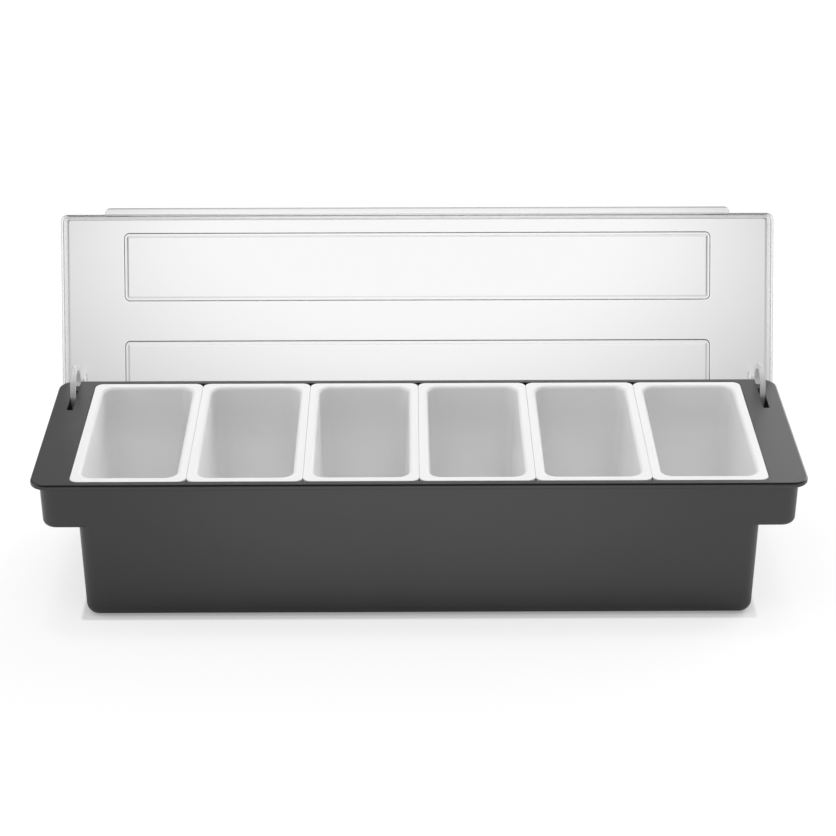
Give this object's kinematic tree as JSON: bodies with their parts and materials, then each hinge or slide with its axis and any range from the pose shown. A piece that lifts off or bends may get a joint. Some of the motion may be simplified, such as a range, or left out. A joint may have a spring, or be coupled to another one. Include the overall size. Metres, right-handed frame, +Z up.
{
  "type": "bar garnish tray",
  "caption": "Long rectangular condiment tray with hollow end grips, lift-out flanged inserts in one row and a clear hinged lid that stands open.",
  "frame": {"origin": "on the table face, under the middle of the tray", "axes": "+X along the tray to its right end seen from the front, +Y to the hinge side, +Z up"},
  "size_m": [0.5, 0.2144, 0.2124],
  "materials": {
    "base_plastic": "satin moulded charcoal black",
    "insert_plastic": "soft gloss white",
    "lid_clear": "clear moulded plastic with a frosted cast"
  },
  "bodies": {
    "base": {"base": "base_plastic"},
    "lid": {"lid": "lid_clear"},
    "insert_1": {"insert_1": "insert_plastic"},
    "insert_2": {"insert_2": "insert_plastic"},
    "insert_3": {"insert_3": "insert_plastic"},
    "insert_4": {"insert_4": "insert_plastic"},
    "insert_5": {"insert_5": "insert_plastic"},
    "insert_6": {"insert_6": "insert_plastic"}
  },
  "joints": [
    {"name": "lid_hinge", "type": "hinge", "parent": "base", "child": "lid", "pos_m": [0, 0.0596, 0.0898], "axis": [-1, 0, 0], "range_deg": [-113, 0]},
    {"name": "insert_1_lift", "type": "slide", "parent": "base", "child": "insert_1", "axis": [0, 0, 1], "range_m": [0, 0.085]},
    {"name": "insert_2_lift", "type": "slide", "parent": "base", "child": "insert_2", "axis": [0, 0, 1], "range_m": [0, 0.085]},
    {"name": "insert_3_lift", "type": "slide", "parent": "base", "child": "insert_3", "axis": [0, 0, 1], "range_m": [0, 0.085]},
    {"name": "insert_4_lift", "type": "slide", "parent": "base", "child": "insert_4", "axis": [0, 0, 1], "range_m": [0, 0.085]},
    {"name": "insert_5_lift", "type": "slide", "parent": "base", "child": "insert_5", "axis": [0, 0, 1], "range_m": [0, 0.085]},
    {"name": "insert_6_lift", "type": "slide", "parent": "base", "child": "insert_6", "axis": [0, 0, 1], "range_m": [0, 0.085]}
  ]
}
